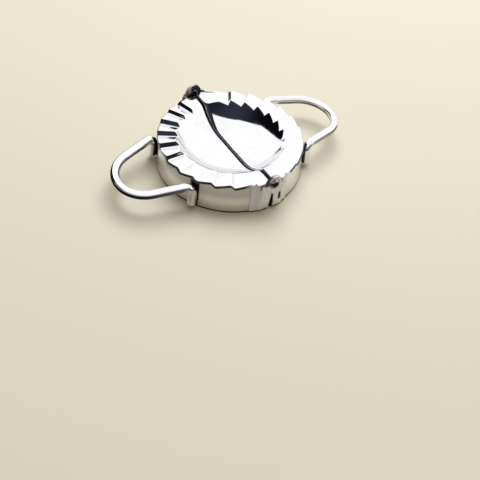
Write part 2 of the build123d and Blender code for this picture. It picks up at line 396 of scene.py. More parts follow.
def column_angle(g, pitch, count, edge):
    """Angle from the middle of the half for a column, close together at the steep faces."""
    teeth = g.low(count, FLUTED_COLUMNS) / PER_TOOTH
    tooth = g.rounded(teeth)
    part = teeth - tooth
    crowded = part * COLUMN_CROWD + part * part * part * (4 * (1 - COLUMN_CROWD))
    angle = pitch * (tooth + crowded)
    past = g.high(count - FLUTED_COLUMNS, 0.0)
    last_column = 0
    last_angle = FLUTED_COLUMNS / PER_TOOTH * FLUTE_PITCH
    for stop_column, stop_angle in END_STOPS:
        angle += g.span(past, last_column, stop_column) * (stop_angle - last_angle)
        last_column, last_angle = stop_column, stop_angle
    last = g.span(past, last_column, END_COLUMNS)
    return angle + (edge - last_angle) * last * (2.0 - last)


def flute_height(g, given, side, angle):
    """Height of the saw-tooth flutes over the plate, from the angle and the side of the middle."""
    pitch = given["Flute pitch"]
    crest, valley = given["Crest round"], given["Valley round"]
    lift = given["End lift"]
    high = given["Flute height"] * 0.5
    half = given["Steep width"] * 0.5
    steep = high / half
    gentle = high / (pitch * 0.5 - half)
    turn = angle - pitch * g.rounded(angle / pitch)
    lean = g.sign(turn) * side * -1.0
    soft = g.pick(lean > 0.0, crest, valley)
    rise = g.soft_low(abs(turn) * steep, (pitch * 0.5 - abs(turn)) * gentle, soft)
    middle = lean * rise

    first = FLUTE_LAST + half
    climb = (angle - first) * ((lift + high) / (FLUTE_END - END_EASE - first)) - high
    plus = g.soft_high((FLUTE_LAST - angle) * steep, g.soft_low(climb, lift, END_BLEND), valley)
    last = STEP_END - (lift + high) / steep
    slope = high - (angle - first) * (high * 2.0 / (last - first))
    step = lift - (STEP_END - angle) * steep
    minus = g.soft_low(g.soft_high(slope, step, valley), lift, END_BLEND)
    minus = g.soft_low((angle - FLUTE_LAST) * steep, minus, crest)
    return g.pick(angle < FLUTE_LAST, middle, g.pick(side > 0.0, plus, minus))


FLUTE_INPUTS = {
    "Plate height": PLATE_Z,
    "Flute pitch": FLUTE_PITCH,
    "End lift": END_LIFT,
    "Flute height": FLUTE_HEIGHT + FLUTE_EXTRA,
    "Steep width": FLUTE_STEEP,
    "Crest round": 1.3,
    "Valley round": 1.1,
}


def line_radius(first, second, cosine, sine):
    """Distance from the origin to a straight edge through two points, along an angle."""
    along_x, along_y = second[0] - first[0], second[1] - first[1]
    level = along_y * first[0] - along_x * first[1]
    return level / (cosine * along_y - sine * along_x)


def first_tab(g, side):
    """Column number just before the first one of the tab, on either side of the half."""
    return g.pick(side > 0.0, TAB_FIRST - 0.5, STEP_FIRST - 0.5)


def rim_radius(g, angle, side, count):
    """Outer edge of the plate: flutes, fold lines, slanted corner and round notch."""
    cosine, sine = g.cos_deg(angle), g.sin_deg(angle)
    reach = FLANGE_NEAR_EAR + PLATE_GROW
    beside = EAR_FLAT - PLATE_GROW
    jog = polar(FLANGE_R + JOG_GROW, END_STOPS[-1][1])
    slant = line_radius((JOINT_GAP / 2, CORNER[1]), (CORNER[0], reach), cosine, sine)
    own_jog = line_radius((beside, reach), jog, cosine, sine)
    own_ear = g.low(g.low(reach / sine, slant), own_jog)
    other_jog = line_radius((beside, EAR_OUT - NOTCH_SHY), jog, cosine, sine)
    centre_x, centre_y, notch_r = NOTCH
    along = cosine * centre_x + sine * centre_y
    inside = along * along - (centre_x**2 + centre_y**2 - notch_r**2)
    notch = along - g.root(g.high(inside, 0.0))
    other_ear = g.pick(inside > 0.0, g.low(notch, other_jog), other_jog)
    corner = g.pick(side > 0.0, own_ear, other_ear)
    folded = g.pick(count < TAB_LAST + 0.5, fold_start(), corner)
    return g.pick(count < first_tab(g, side), FLANGE_R - RIM_ROLL, folded)


def dish_height(g, given, out):
    """Height of the dish: flat floor, round corner and straight wall."""
    corner_r = given["Corner radius"]
    wall = given["Wall angle"] * radians(1)
    past = g.high(out - given["Floor radius"], 0.0)
    bent = g.low(past, corner_r * g.math("SINE", wall))
    bowl = corner_r - g.root(corner_r * corner_r - bent * bent)
    straight = (past - bent) * g.math("TANGENT", wall)
    return given["Plate height"] - given["Dish depth"] + bowl + straight


def rolled_edge(g, given, height, beside, y, out):
    """Height with the straight edge along the joint rolled down, most near the inner ear."""
    roll = given["Dish roll"] + g.ease(y, *END_ROLL_RISE) * given["End roll"]
    roll = given["Edge roll"] + roll * g.fade(out, *ROLL_FADE)
    curl = roll * CURL_SLACK
    over = roll - g.low(beside, roll)
    return height - curl + g.root(curl * curl - over * over)


PAN_INPUTS = {
    **FLUTE_INPUTS,
    "Joint gap": JOINT_GAP,
    "Dish gap": -0.4,
    "Edge roll": 0.9,
    "Dish roll": 1.0,
    "End roll": 1.0,
    "Dish depth": DISH_DEPTH,
    "Floor radius": DISH_FLOOR_R,
    "Corner radius": DISH_CORNER_R,
    "Wall angle": DISH_WALL_DEG,
    "Rim round": 1.3,
    "Waviness": 0.05,
    "Seed": 0.0,
}


def pan_tree(material):
    """Upper face of one half pan: fan of the dish floor, dish wall and fluted flange."""
    g, given = new_tree("fluted pan", PAN_INPUTS)
    grid, side, count, row = grid_lines(g, PAN_ROWS)
    pitch, floor_r = given["Flute pitch"], given["Floor radius"]
    wall_in, wall_out = DISH_WALL

    nominal = column_angle(g, pitch, count, degrees(acos(JOINT_GAP / 2 / FLANGE_R)))
    rim = rim_radius(g, nominal, side, count)
    radius = floor_r + g.span(row, FAN_ROW, FLOOR_ROW) * (wall_in - floor_r)
    radius += g.span(row, FLOOR_ROW, WALL_ROW) * (wall_out - wall_in)
    radius += g.span(row, WALL_ROW, RIM_ROW) * (rim - wall_out)
    roll = g.span(row, RIM_ROW, PAN_ROWS) * 90.0
    radius += g.sin_deg(roll) * RIM_ROLL
    edge_x = given["Joint gap"] * 0.5 + g.fade(radius, *DISH_TO_FLANGE) * given["Dish gap"]
    edge = g.math("ARCCOSINE", edge_x / radius) * degrees(1)
    angle = column_angle(g, pitch, count, edge)
    fan = g.span(row, 0, FAN_ROW)
    fan *= fan
    x = edge_x + (radius * g.cos_deg(angle) - edge_x) * fan
    y = side * radius * g.sin_deg(angle) * fan

    out = g.length(x, y)
    flange = given["Plate height"] + flute_height(g, given, side, angle)
    height = g.soft_low(dish_height(g, given, out), flange, given["Rim round"])
    height = rolled_edge(g, given, height, x - edge_x, y, out)
    wave = g.noise(g.vector(x * WAVE_SCALE, y * WAVE_SCALE, given["Seed"]), 1.0, Detail=1.0)
    height = height + (wave - 0.5) * given["Waviness"] - (1.0 - g.cos_deg(roll)) * RIM_ROLL
    return finish_tree(g, placed(g, grid, x, y, height), material)


def band_tree(material):
    """Outer face of one half of the cutter band, with its top edge under the flutes."""
    g, given = new_tree("cutter band", {**FLUTE_INPUTS, "Slack": 0.03})
    grid, side, count, row = grid_lines(g, BAND_ROWS)
    pitch = given["Flute pitch"]
    nominal = column_angle(g, pitch, count, degrees(acos(SLIT_HIGH / RING_R)))
    under = given["Plate height"] - RIM_ROLL - given["Slack"]
    fluted = under + flute_height(g, given, side, nominal)
    step_angle = degrees(acos(BAND_STEP_X / RING_R))
    ends = g.pick(nominal < step_angle, BAND_END_TOP, BAND_HINGE_TOP)
    top = g.pick(count < first_tab(g, side), fluted, ends)
    height = top * row / BAND_ROWS
    radius = ring_radius(height)
    edge = g.math("ARCCOSINE", SLIT_HIGH / radius) * degrees(1)
    angle = column_angle(g, pitch, count, edge)
    x = radius * g.cos_deg(angle)
    y = side * radius * g.sin_deg(angle)
    return finish_tree(g, placed(g, grid, x, y, height), material)


def wire_tree(material):
    """Round wire along a path; how far its skin faces upward is kept for the material, which
    paints shade on the lower flanks.
    """
    g, given = new_tree("bent wire", {"Path": None, "Wire radius": WIRE_R * MM})
    sockets = {"Resolution": WIRE_SIDES, "Radius": given["Wire radius"]}
    ring = g.add("GeometryNodeCurvePrimitiveCircle", {}, sockets)
    sockets = {"Curve": given["Path"], "Profile Curve": ring, "Fill Caps": True}
    tube = g.add("GeometryNodeCurveToMesh", {}, sockets)
    x, y, z = g.axes(g.add("GeometryNodeInputNormal"))
    marked = g.add(
        "GeometryNodeStoreNamedAttribute",
        {"data_type": "FLOAT", "domain": "POINT"},
        {"Geometry": tube, "Name": "upward", "Value": z},
    )
    return finish_tree(g, marked, material)


def strips(bm, lines):
    """Faces between neighbouring lines of points; a point met twice counts once."""
    for left, right in zip(lines, lines[1:]):
        for i in range(len(left) - 1):
            corners = (left[i], left[i + 1], right[i + 1], right[i])
            bm.faces.new(list(dict.fromkeys(corners)))


def bm_mesh(bm, name, material):
    mesh = bpy.data.meshes.new(name)
    bm.to_mesh(mesh)
    bm.free()
    mesh.materials.append(material)
    return mesh


class Sheet:
    """A thin sheet built up from patches that are welded before it gets its thickness."""

    def __init__(self, mesh):
        self.bm = bmesh.new()
        self.bm.from_mesh(mesh)
        self.base = list(self.bm.verts)

    def point(self, x, y, z):
        return self.bm.verts.new((x * MM, y * MM, z * MM))

    def plate(self, loops, lift):
        """Flat patch inside the first loop, with the other loops as holes."""
        edges = []
        for loop in loops:
            points = [self.bm.verts.new(lift(x, z)) for x, z in loop]
            for a, b in zip(points, points[1:] + points[:1]):
                edges.append(self.bm.edges.new((a, b)))
        made = bmesh.ops.triangle_fill(self.bm, edges=edges, use_beauty=True)
        faces = [item for item in made["geom"] if isinstance(item, bmesh.types.BMFace)]
        bmesh.ops.recalc_face_normals(self.bm, faces=faces)
        bmesh.ops.inset_region(
            self.bm, faces=faces, thickness=EAR_INSET * MM, use_boundary=True, use_even_offset=True
        )

    def weld(self, place, way):
        """Welds the patches and turns the face nearest to a place the given way."""
        bmesh.ops.remove_doubles(self.bm, verts=self.bm.verts[:], dist=WELD_NEAR * MM)
        bmesh.ops.dissolve_degenerate(self.bm, edges=self.bm.edges[:], dist=SLIVER * MM)
        bmesh.ops.recalc_face_normals(self.bm, faces=self.bm.faces[:])
        self.bm.faces.ensure_lookup_table()
        nearest = min(self.bm.faces, key=lambda face: (face.calc_center_median() - place).length)
        if nearest.normal.dot(way) < 0:
            bmesh.ops.reverse_faces(self.bm, faces=self.bm.faces[:])

    def thick_mesh(self, name, thickness, edge_round, material):
        mesh = bm_mesh(self.bm, name, material)
        mesh.shade_smooth()
        maker = new_object(name + "_maker", mesh)
        wall = maker.modifiers.new("wall", "SOLIDIFY")
        wall.thickness = thickness * MM
        wall.offset = -1.0
        wall.use_even_offset = True
        soften_edges(maker, edge_round)
        return plain_mesh(maker, name)


def tab_profile():
    """Radius and height down the fold and the straight of a tab, outer face."""
    hub_r = fold_start()
    hub_z = END_Z - BEND_R
    line = []
    for step in range(1, FOLD_STEPS + 1):
        turn = radians(90) + (FLARE - radians(90)) * step / FOLD_STEPS
        line.append((hub_r + BEND_R * cos(turn), hub_z + BEND_R * sin(turn)))
    foot_r = RING_R + PAN_T / cos(FLARE)
    top_r, top_z = line[-1]
    for step in range(1, TAB_STEPS + 1):
        part = step / TAB_STEPS
        line.append((top_r + (foot_r - top_r) * part, top_z * (1 - part)))
    return line


def shoulder_height(x):
    """Height of the slanted edge from the ear down to the tab, for a number or a Num."""
    (x0, z0), (x1, z1) = EAR_SHOULDER
    return z0 + (x - x0) * ((z1 - z0) / (x1 - x0))


def ear_outline(side_line, end):
    """Closed outline of the flat tongue and round ear in width and height."""
    foot_x = SLIT_INNER if end > 0 else SLIT_LOW
    slit_edge = []
    for step in range(SLIT_STEPS + 1):
        part = step / SLIT_STEPS
        slit_edge.append((SLIT_HIGH + (foot_x - SLIT_HIGH) * part, SLIT_TOP * (1 - part)))
    low_angle = -pi / 2 + asin(SLIT_HIGH / EAR_R)
    if end < 0:
        low_angle = atan2(TONGUE_LAP[1] - HINGE_Z, TONGUE_LAP[0])
    join_x = EAR_R * EAR_JOIN
    high_angle = atan2(shoulder_height(join_x) - HINGE_Z, join_x)
    outline = list(side_line)
    for step in range(EAR_STEPS + 1):
        turn = high_angle + (low_angle + 2 * pi - high_angle) * step / EAR_STEPS
        outline.append((EAR_R * cos(turn), HINGE_Z + EAR_R * sin(turn)))
    return outline + slit_edge


def hinge_circle(radius, count):
    """Even points round the hinge axis in width and height."""
    turns = [2 * pi * step / count for step in range(count)]
    return [(radius * cos(t), HINGE_Z + radius * sin(t)) for t in turns]


def relief_outline():
    """Slot with round ends, almost upright."""
    x, width, low, high = RELIEF
    radius = width / 2
    middle = (low + high) / 2
    points = []
    for centre, start in ((high - radius, 0.0), (low + radius, pi)):
        shift = RELIEF_LEAN * (centre - middle)
        for step in range(SLOT_STEPS + 1):
            turn = start + pi * step / SLOT_STEPS
            points.append((x + shift + radius * cos(turn), centre + radius * sin(turn)))
    return points


def ear_face(end, z):
    """How far out the face of a tongue and its ear stands at a height."""
    ear_y = (EAR_IN if end > 0 else EAR_OUT) + PAN_T
    foot_y = TONGUE_FOOT + PAN_T
    part = min(z / SLIT_TOP, 1.0)
    return foot_y + (ear_y - foot_y) * part * (2.0 - part)


def fold_tab(sheet, end):
    """Folds one end of the flange down; returns the edge towards the ear, from its foot up."""
    profile = tab_profile()
    lines = []
    for count in range(TAB_FIRST if end > 0 else STEP_FIRST, TAB_LAST + 1):
        first = sheet.base[(HALF_COLUMNS - end * count) * (PAN_ROWS + 1) + RIM_ROW]
        angle = atan2(first.co.y, first.co.x)
        line = [first]
        for radius, height in profile:
            line.append(sheet.point(radius * cos(angle), radius * sin(angle), height))
        lines.append(line)
    strips(sheet.bm, lines)
    return [vert for vert in lines[-1][::-1] if vert.co.z / MM < END_Z - JOG_SHY]


def jog_to_ear(sheet, end, edge):
    """Strip from the round tab to the flat ear; returns the side of the ear, from its foot up."""
    hub_z = END_Z - BEND_R
    top_z = edge[-1].co.z / MM
    ear_top = shoulder_height(EAR_FLAT)
    side_line = []
    columns = [[] for step in range(JOG_STEPS + 1)]
    for vert in edge:
        x, y, z = (v / MM for v in vert.co)
        ear_z = z
        if z > hub_z:
            ear_z = hub_z + (z - hub_z) * (ear_top - hub_z) / (top_z - hub_z)
        side_line.append((EAR_FLAT, ear_z))
        columns[-1].append(vert)
        lean = -x / hypot(x, y)
        run = x - EAR_FLAT
        flat = ear_face(end, ear_z)
        for step in range(JOG_STEPS):
            t = step / JOG_STEPS
            s = t * t * (3 - 2 * t)
            wide = EAR_FLAT + run * t
            deep = flat + (abs(y) - flat) * s + (t**3 - t**2) * lean * run
            columns[step].append(sheet.point(wide, end * deep, ear_z + (z - ear_z) * s))
    strips(sheet.bm, columns)
    return side_line


def add_tab_and_ear(sheet, end, hole_r):
    """Folds one end of the flange down into a tab and runs it on into the hinge ear.

    The end is 1 at the inner ear and -1 at the outer ear.
    """
    side_line = jog_to_ear(sheet, end, fold_tab(sheet, end))
    loops = [ear_outline(side_line, end), hinge_circle(hole_r, HOLE_STEPS)]
    if end < 0:
        loops.append(relief_outline())
    sheet.plate(loops, lambda x, z: (x * MM, end * ear_face(end, z) * MM, z * MM))


def trim_roll(sheet):
    """The rolled rim stops where the tabs start."""
    spare = []
    for column in range(-HALF_COLUMNS, HALF_COLUMNS + 1):
        if abs(column) >= (TAB_FIRST if column > 0 else STEP_FIRST):
            start = (HALF_COLUMNS - column) * (PAN_ROWS + 1)
            spare += sheet.base[start + RIM_ROW + 1 : start + PAN_ROWS + 1]
    bmesh.ops.delete(sheet.bm, geom=spare, context="VERTS")


def tree_sheet(name, tree, values):
    """Sheet that starts as the face a geometry tree makes."""
    base = new_object(name + "_base", bpy.data.meshes.new(name + "_base"))
    node_modifier(base, tree, values)
    return Sheet(plain_mesh(base, name + "_face"))


def pan_mesh(name, tree, material, hole_r, seed, steep):
    sheet = tree_sheet(name, tree, {"Seed": seed, "Steep width": steep})
    add_tab_and_ear(sheet, 1, hole_r)
    add_tab_and_ear(sheet, -1, hole_r)
    trim_roll(sheet)
    on_flange = Vector((40, 0, PLATE_Z)) * MM
    sheet.weld(on_flange, Vector((0, 0, 1)))
    return sheet.thick_mesh(name, PAN_T, PAN_EDGE, material)


def band_mesh(name, tree, material):
    sheet = tree_sheet(name, tree, {})
    on_side = Vector((RING_R, 0, 10)) * MM
    sheet.weld(on_side, Vector((1, 0, 0)))
    return sheet.thick_mesh(name, BAND_T, BAND_EDGE, material)


def handle_path():
    """Points along the middle of the right wire: leg, bend, arm, loop and back."""
    stand_off = (WIRE_R - WIRE_SINK) / cos(FLARE)
    top_r = ring_radius(HANDLE_Z) + stand_off
    foot_r = ring_radius(LEG_LOW) + stand_off
    leg_x = (top_r**2 - LEG_Y**2) ** 0.5
    along = Vector((cos(radians(HANDLE_DROP)), 0, -sin(radians(HANDLE_DROP))))
    across = Vector((0, 1, 0))
    lean = radians(HANDLE_TAPER)
    reach = (HANDLE_REACH - leg_x) / cos(radians(HANDLE_DROP))
    loop_r = (LEG_Y * cos(lean) - reach * sin(lean)) / (1 - sin(lean))
    centre = Vector((leg_x, 0, HANDLE_Z)) + along * (reach - loop_r)

    def half(side):
        corner = Vector((leg_x, side * LEG_Y, HANDLE_Z))
        scale = foot_r / top_r
        foot = Vector((leg_x * scale, side * LEG_Y * scale, LEG_LOW))
        upward = (corner - foot).normalized()
        arm = along * cos(lean) - across * (side * sin(lean))
        turn = upward.angle(arm)
        low = corner - upward * (LEG_BEND_R * tan(turn / 2))
        inward = (arm - upward).normalized()
        hub = corner + inward * (LEG_BEND_R / cos(turn / 2))
        axis = upward.cross(arm).normalized()
        spoke = low - hub
        points = [foot + (low - foot) * (step / LEG_STEPS) for step in range(LEG_STEPS)]
        for step in range(BEND_STEPS + 1):
            points.append(hub + Matrix.Rotation(turn * step / BEND_STEPS, 3, axis) @ spoke)
        meet = centre + along * (loop_r * sin(lean)) + across * (side * loop_r * cos(lean))
        start = points[-1]
        points += [start + (meet - start) * (step / ARM_STEPS) for step in range(1, ARM_STEPS)]
        return points

    sweep = radians(180 - 2 * HANDLE_TAPER)
    loop = []
    for step in range(LOOP_STEPS + 1):
        turn = -sweep / 2 + sweep * step / LOOP_STEPS
        loop.append(centre + along * (loop_r * cos(turn)) + across * (loop_r * sin(turn)))
    return half(-1) + loop + half(1)[::-1]


def wire_mesh(name, tree):
    curve = bpy.data.curves.new(name + "_path", "CURVE")
    curve.dimensions = "3D"
    points = handle_path()
    spline = curve.splines.new("POLY")
    spline.points.add(len(points) - 1)
    for spot, place in zip(spline.points, points):
        spot.co = (*(place * MM), 1.0)
    base = new_object(name + "_path", curve)
    node_modifier(base, tree, {})
    maker = new_object(name + "_maker", plain_mesh(base, name + "_tube"))
    soften_edges(maker, WIRE_EDGE)
    return plain_mesh(maker, name)


def rivet_profile():
    """Radius and place along the axis, from the middle of the tail to the top of the head."""
    tail_y = EAR_IN - RIVET_PLAY
    head_y = EAR_OUT + PAN_T + RIVET_PLAY
    tail_end = tail_y - TAIL_H
    hole_y = tail_end + TAIL_HOLE_DEPTH
    crown = (TAIL_HOLE_R + TAIL_R) / 2
    roll = (TAIL_R - TAIL_HOLE_R) / 2
    line = [(radius, hole_y - rise) for radius, rise in TAIL_HOLLOW]
    for step in range(ROLL_STEPS + 1):
        turn = pi * step / ROLL_STEPS
        line.append((crown - roll * cos(turn), tail_end + TAIL_ROLL * (1 - sin(turn))))
    line += [(TAIL_R, tail_y - TAIL_CHIP), (TAIL_R - TAIL_CHIP, tail_y), (SHANK_R, tail_y)]
    line += [(SHANK_R, head_y), (HEAD_R - HEAD_CHIP, head_y), (HEAD_R, head_y + HEAD_CHIP)]
    dome_h = HEAD_H - HEAD_EDGE
    dome_r = (HEAD_R**2 + dome_h**2) / (2 * dome_h)
    edge_turn = asin(HEAD_R / dome_r)
    for step in range(DOME_STEPS + 1):
        turn = edge_turn * (1 - step / DOME_STEPS)
        line.append((dome_r * sin(turn), head_y + HEAD_H - dome_r * (1 - cos(turn))))
    return line


def rivet_mesh(name, material):
    """Rear rivet, turned about the hinge axis."""
    bm = bmesh.new()
    rings = []
    for radius, y in rivet_profile():
        points = hinge_circle(radius, RIVET_SIDES if radius else 1)
        ring = [bm.verts.new((x * MM, y * MM, z * MM)) for x, z in points]
        rings.append(ring + ring[:1] if radius else ring * (RIVET_SIDES + 1))
    strips(bm, rings)
    bmesh.ops.recalc_face_normals(bm, faces=bm.faces[:])
    mesh = bm_mesh(bm, name, material)
    mesh.shade_smooth()
    mesh.set_sharp_from_angle(angle=radians(RIVET_EDGE_DEG))
    return mesh


class Spot:
    """Place on a piece in millimetres, as numbers inside a shader tree.

    Aside is the distance from the joint, end that towards a hinge end, out that from the
    middle and ring the same without the flare of the band. Along runs across a hinge end.
    """

    def __init__(self, g, place):
        self.g = g
        self.x, self.y, self.z = (axis / MM for axis in g.axes(place))

    aside = cached_property(lambda at: abs(at.x))
    end = cached_property(lambda at: abs(at.y))
    out = cached_property(lambda at: at.g.length(at.x, at.y))
    ring = cached_property(lambda at: at.out + at.z * tan(FLARE))
    from_pin = cached_property(lambda at: at.g.length(at.x, at.z - HINGE_Z))
    along = cached_property(lambda at: at.x * at.g.sign(at.y))


# Each mark gives the places of painted shade and painted highlights on a finish: how strong the
# paint is, and its colour.
# Most of its numbers are the millimetres between which the paint comes in or goes out.


def foot_mark(g, at):
    """Painted shade line along the cutting edge."""
    foot = (0.7, 1.3)
    return [(g.fade(at.z, *foot), BROWN_PAINTED_SHADE)]


def ear_face_mark(g, at):
    """Painted shade on the inner faces of the ears, with a painted highlight beside the rivet."""
    skin_from, skin_to = (EAR_IN - 0.4, EAR_IN - 0.15), (EAR_IN + 0.2, EAR_IN + 0.4)
    patch_from, patch_to, patch_above = (-5.4, -3.0), (-3.0, -1.0), (20.0, 23.0)
    above = (17.0, 18.5)
    skin = g.ease(at.end, *skin_from) * g.fade(at.end, *skin_to)
    patch = g.ease(at.along, *patch_from) * g.fade(at.along, *patch_to)
    shade = g.blend(patch * g.ease(at.z, *patch_above), EAR_SHADE, EAR_PAINTED_HIGHLIGHT)
    return [(skin * g.ease(at.z, *above), shade)]


def ear_rim_mark(g, at):
    """Painted shade on the cut rim of the ears, over the hinge axis."""
    rim_from, rim_to = (EAR_R - 0.24, EAR_R - 0.12), (EAR_R + 0.1, EAR_R + 0.2)
    above, out_from, side_from = (HINGE_Z, HINGE_Z + 0.6), (EAR_IN - 0.3, EAR_IN), (-0.5, 3.5)
    rim = g.ease(at.from_pin, *rim_from) * g.fade(at.from_pin, *rim_to)
    rim = rim * g.ease(at.z, *above) * g.ease(at.end, *out_from)
    return [(rim * g.ease(at.along, *side_from), DARK_PAINTED_SHADE)]


def ear_fold_mark(g, at):
    """Painted grey shade on the top of the fold beside the inner ear."""
    out_from, above = (46.9, 47.2), (20.7, 21.0)
    side_from, side_to = (3.0, 4.0), (7.5, 11.0)
    fold = g.ease(at.end, *out_from) * g.ease(at.along, *side_from) * g.fade(at.along, *side_to)
    return [(fold * g.ease(at.z, *above), FOLD_PAINTED_SHADE)]


def ear_shelf_mark(g, at):
    """Painted grey shade on the shoulder from the outer ear down to the tab."""
    edge, edge_from = (0.15, 0.35), (47.4, 47.6)
    top_from, top_above = (46.2, 46.8), (20.2, 20.6)
    side_from, side_to = (4.8, 5.6), (11.0, 12.0)
    side = 0.0 - at.along
    cut = g.fade(abs(at.z - shoulder_height(side)), *edge) * g.ease(at.end, *edge_from)
    shelf = g.high(cut, g.ease(at.end, *top_from) * g.ease(at.z, *top_above))
    return [(shelf * g.ease(side, *side_from) * g.fade(side, *side_to), SHELF_PAINTED_SHADE)]


EAR_MARKS = (ear_face_mark, ear_rim_mark, ear_fold_mark, ear_shelf_mark)


def lip_mark(g, at):
    """Painted dark shade on the rolled lip of the flutes, strongest along the front."""
    lip_from, tabs_from, above = (45.7, 46.1), (43.4, 44.0), (17.5, 18.0)
    front_x, front_y, front_from = -0.31, 0.95, (0.2, 0.4)
    all_round = 0.3
    lip = g.ease(at.out, *lip_from) * g.fade(at.end, *tabs_from) * g.ease(at.z, *above)
    front = g.ease((at.x * front_x - at.y * front_y) / at.out, *front_from)
    return [(lip * (all_round + front * (1.0 - all_round)), LIP_PAINTED_SHADE)]


# Painted shade strokes along creases beside the rear hinge: start, end, half width and the share
# of it lost on the way

CREASE_SHADE_STROKES = (
    ((22.7, 38.8), (18.3, 31.6), 0.7, -0.3),
    ((4.5, 47.7), (12.0, 42.9), 0.8, 0.6),
    ((-7.0, 46.4), (-14.6, 43.4), 1.3, 0.0),
)


def crease_shade_marks(g, at):
    """Painted dark shade along creases in the flange beside the rear hinge."""
    soft, soft_start, soft_stop, above = 0.2, 0.3, 0.5, (18.5, 19.0)
    stains = []
    for (x0, y0), (x1, y1), wide, lost in CREASE_SHADE_STROKES:
        length = hypot(x1 - x0, y1 - y0)
        way_x, way_y = (x1 - x0) / length, (y1 - y0) / length
        run = (at.x - x0) * way_x + (at.y - y0) * way_y
        beside = abs((at.y - y0) * way_x - (at.x - x0) * way_y)
        line = g.fade(beside - (1.0 - run * (lost / length)) * wide, -soft, soft)
        line *= g.ease(run, -soft_start, soft_start)
        line *= g.fade(run, length - soft_stop, length + soft_stop)
        stains.append((line * g.ease(at.z, *above), DARK_PAINTED_SHADE))
    return stains


def joint_mark(g, at):
    """Painted grey shade along the straight edge of each half at the joint gap, set back with it
    on the flange; the edge is also duller.
    """
    hem_to, ends_from, set_back = (1.1, 1.4), (45.2, 45.6), 0.35
    hem = at.aside - g.ease(at.out, *DISH_TO_FLANGE) * set_back
    return [(g.fade(hem, *hem_to) * g.fade(at.end, *ends_from), JOINT_PAINTED_SHADE)]


def core_mark(g, at):
    """Painted dark reflection in the middle of the rivets."""
    core = (1.9, 2.8)
    return [(g.fade(at.from_pin, *core), CORE_PAINTED_REFLECTION)]


def flank_mark(g, at):
    """Painted shade on the lower flanks of the wire loops; top, underside and legs stay bright."""
    top_from, under_to, legs_to = (0.0, 0.28), (-0.85, -0.6), (52.5, 55.5)
    upward = g.num(g.add("ShaderNodeAttribute", {"attribute_name": "upward"}), "Fac")
    flank = g.fade(upward, *top_from) * g.ease(upward, *under_to)
    return [(flank * g.ease(at.out, *legs_to), FLANK_PAINTED_SHADE)]


def leg_weld_shade_mark(g, at):
    """Painted shade on the wire legs where they meet the band."""
    weld = (1.5, 2.7)
    return [(g.fade(at.ring - RING_R, *weld), BROWN_PAINTED_SHADE)]


def band_weld_shade_mark(g, at):
    """Painted shade on the band beside the wire legs."""
    weld = (2.3, 3.5)
    lean = asin(LEG_Y / (ring_radius(HANDLE_Z) + WIRE_R - WIRE_SINK))
    beside = abs(at.end * cos(lean) - at.aside * sin(lean))
    return [(g.fade(beside, *weld), WELD_PAINTED_SHADE)]


def band_end_mark(g, at):
    """Painted shade on the band behind the tongues and at the slit."""
    skin_from, tabs_to, slit_to = (RING_R - 0.45, RING_R - 0.2), (7.8, 8.3), (2.1, 2.4)
    skin = g.ease(at.ring, *skin_from) * g.fade(at.aside, *tabs_to)
    return [(g.high(skin, g.fade(at.aside, *slit_to)), BAND_PAINTED_SHADE)]


def folded_ends(g, at):
    """Tabs, tongues and ears of the pans."""
    below, tabs_from = (END_Z - 0.35, END_Z - 0.08), (44.2, 44.6)
    ears_from, sides_from, sides_out = (EAR_IN - 0.15, EAR_IN), (46.5, 47.0), (4.6, 5.6)
    tabs = g.ease(at.end, *tabs_from) * g.fade(at.z, *below)
    sides = g.ease(at.end, *sides_from) * g.ease(at.aside, *sides_out)
    return g.high(g.high(tabs, g.ease(at.end, *ears_from)), sides)


def new_material(name):
    """Empty node material and its graph."""
    material = bpy.data.materials.new(name)
    material.use_nodes = True
    material.node_tree.nodes.clear()
    return material, Graph(material.node_tree)


# Finish of the steel: sizes of its noises, where they show, and how dull or worn they make it

SMEAR_SCALE, SPECK_SCALE = 70.0, 900.0
BRUSH_GRAIN = (2200.0, 2200.0, 90.0)
SMEARED, SCRATCHED, SPECKED = (0.52, 0.72), (0.55, 0.75), (0.62, 0.74)
SCRATCH_DULL, SPECK_DULL, MARK_DULL = 0.05, 0.04, 0.2
SMEAR_WEAR, SCRATCH_WEAR, WORN_TONE = 0.5, 0.2, 0.90
LINE_RELIEF, SMEAR_RELIEF = 0.6, 0.4
BRUSH_DULL, STREAK_DULL, STREAK_WEAR, STREAK_RELIEF = 0.30, 0.25, 0.9, 3.0
BRUSH_MATT = 0.55
MARK_LEAST, MARK_SPREAD = 0.75, 0.5
RELIEF_STRENGTH, RELIEF_DEPTH = 0.035, 0.4 * MM


